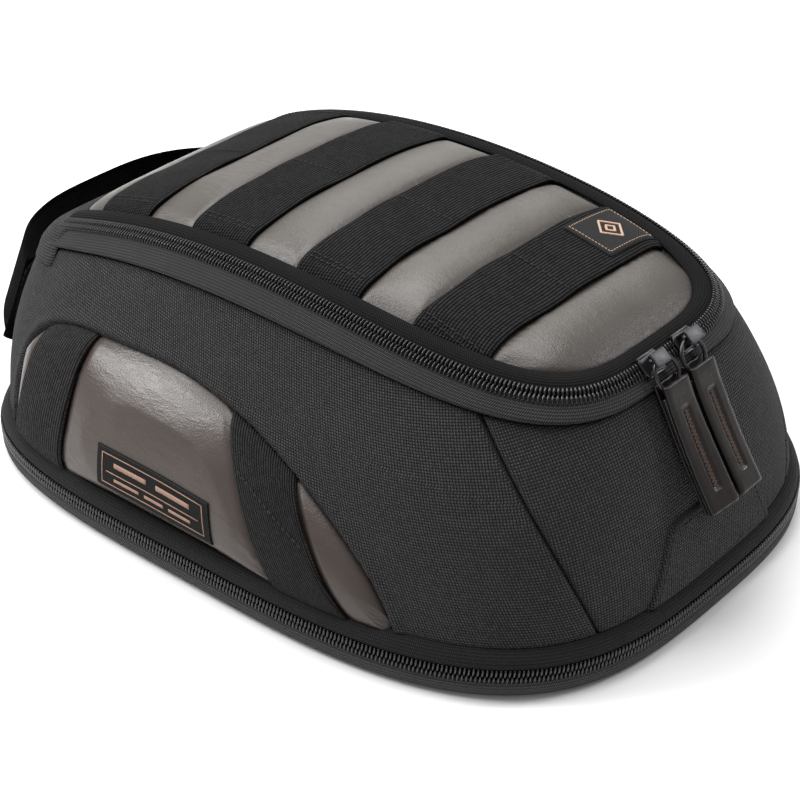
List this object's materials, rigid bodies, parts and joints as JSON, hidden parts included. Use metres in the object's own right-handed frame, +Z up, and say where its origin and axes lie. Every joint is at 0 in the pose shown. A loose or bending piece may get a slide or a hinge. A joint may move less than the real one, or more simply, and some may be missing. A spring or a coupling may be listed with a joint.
{
  "type": "motorcycle tank bag",
  "caption": "Soft tank bag: flat padded base, sloping textile walls with leather insets, strapped leather lid opened by a curved zip, an expansion zip and a front carrying handle.",
  "frame": {"origin": "middle of the flat underside", "axes": "+Z up, +Y towards the front of the motorcycle (the handle's end), X across the bag"},
  "size_m": [0.2464, 0.3522, 0.1163],
  "materials": {
    "canvas": "coarse basket-weave textile, matt charcoal",
    "tape": "fine ribbed zip tape, matt charcoal",
    "teeth": "moulded coil, black, small highlights",
    "webbing": "ribbed woven strap, near black",
    "side_leather": "smooth leather, brown taupe, soft sheen",
    "lid_leather": "smooth leather, grey taupe, fine grain",
    "pull_leather": "dark brown leather with a black core",
    "label": "fine woven black patch with copper thread",
    "lining": "smooth grey lining cloth",
    "foam": "closed-cell foam",
    "board": "pebbled non-slip sheet and stiffening board",
    "gunmetal": "dark plated metal, satin",
    "grip_webbing": "dense matt black strap"
  },
  "bodies": {
    "base": {"base_panel": "board", "base_board": "board", "floor_lining": "lining", "base_band": "canvas", "base_zip_tape": "tape", "base_zip_teeth": "teeth", "expansion_gusset": "lining"},
    "body": {"left_side_panel": "canvas", "right_side_panel": "canvas", "rear_end_panel": "canvas", "front_end_panel": "canvas", "left_side_foam": "foam", "right_side_foam": "foam", "rear_end_foam": "foam", "front_end_foam": "foam", "body_lining": "lining", "body_lower_tape": "tape", "body_lower_teeth": "teeth", "body_zip_tape": "tape", "body_zip_teeth": "teeth", "left_side_leather": "side_leather", "right_side_leather": "side_leather", "left_side_strap_front": "webbing", "right_side_strap_front": "webbing", "left_side_strap_rear": "webbing", "right_side_strap_rear": "webbing", "side_label": "label", "rear_patch": "canvas", "lid_hinge_strip": "canvas", "left_handle_tab": "grip_webbing", "right_handle_tab": "grip_webbing"},
    "lid": {"lid_panel": "canvas", "lid_foam": "foam", "lid_lining": "lining", "lid_leather": "lid_leather", "lid_strap_1": "webbing", "lid_strap_2": "webbing", "lid_strap_3": "webbing", "lid_strap_4": "webbing", "lid_patch": "label", "lid_zip_tape": "tape", "lid_zip_teeth": "teeth"},
    "handle": {"handle_strap": "grip_webbing"},
    "left_slider": {"left_slider": "gunmetal"},
    "right_slider": {"right_slider": "gunmetal"},
    "left_ring": {"left_pull_ring": "gunmetal"},
    "right_ring": {"right_pull_ring": "gunmetal"},
    "left_tab": {"left_pull_tab": "pull_leather"},
    "right_tab": {"right_pull_tab": "pull_leather"},
    "expansion_slider": {"expansion_slider": "gunmetal"},
    "expansion_pull": {"expansion_pull": "gunmetal"}
  },
  "joints": [
    {"name": "expansion", "type": "slide", "parent": "base", "child": "body", "axis": [0, 0, 1], "range_m": [0, 0.035]},
    {"name": "lid_opening", "type": "hinge", "parent": "body", "child": "lid", "pos_m": [0, 0.145, 0.075], "axis": [-1, 0, 0], "range_deg": [0, 100]},
    {"name": "handle_swing", "type": "hinge", "parent": "body", "child": "handle", "pos_m": [0, 0.1492, 0.059], "axis": [1, 0, 0], "range_deg": [-5, 40]},
    {"name": "left_slider_run", "type": "slide", "parent": "lid", "child": "left_slider", "axis": [-1, 0, 0], "range_m": [0, 0.006]},
    {"name": "right_slider_run", "type": "slide", "parent": "lid", "child": "right_slider", "axis": [1, 0, 0], "range_m": [0, 0.006]},
    {"name": "left_ring_swing", "type": "hinge", "parent": "left_slider", "child": "left_ring", "pos_m": [-0.0078, -0.12135, 0.09934], "axis": [-1, 0, 0], "range_deg": [0, 32]},
    {"name": "right_ring_swing", "type": "hinge", "parent": "right_slider", "child": "right_ring", "pos_m": [0.0078, -0.12135, 0.09934], "axis": [-1, 0, 0], "range_deg": [0, 32]},
    {"name": "left_tab_swing", "type": "hinge", "parent": "left_ring", "child": "left_tab", "pos_m": [-0.0078, -0.12453, 0.09425], "axis": [0, 0.848, -0.5299], "range_deg": [0, 14]},
    {"name": "right_tab_swing", "type": "hinge", "parent": "right_ring", "child": "right_tab", "pos_m": [0.0078, -0.12453, 0.09425], "axis": [0, -0.848, 0.5299], "range_deg": [0, 14]},
    {"name": "expansion_slider_run", "type": "slide", "parent": "body", "child": "expansion_slider", "axis": [1, 0, 0], "range_m": [0, 0.06]},
    {"name": "expansion_pull_swing", "type": "hinge", "parent": "expansion_slider", "child": "expansion_pull", "pos_m": [-0.046, 0.153, 0.0101], "axis": [0, 0, -1], "range_deg": [0, 100]}
  ]
}
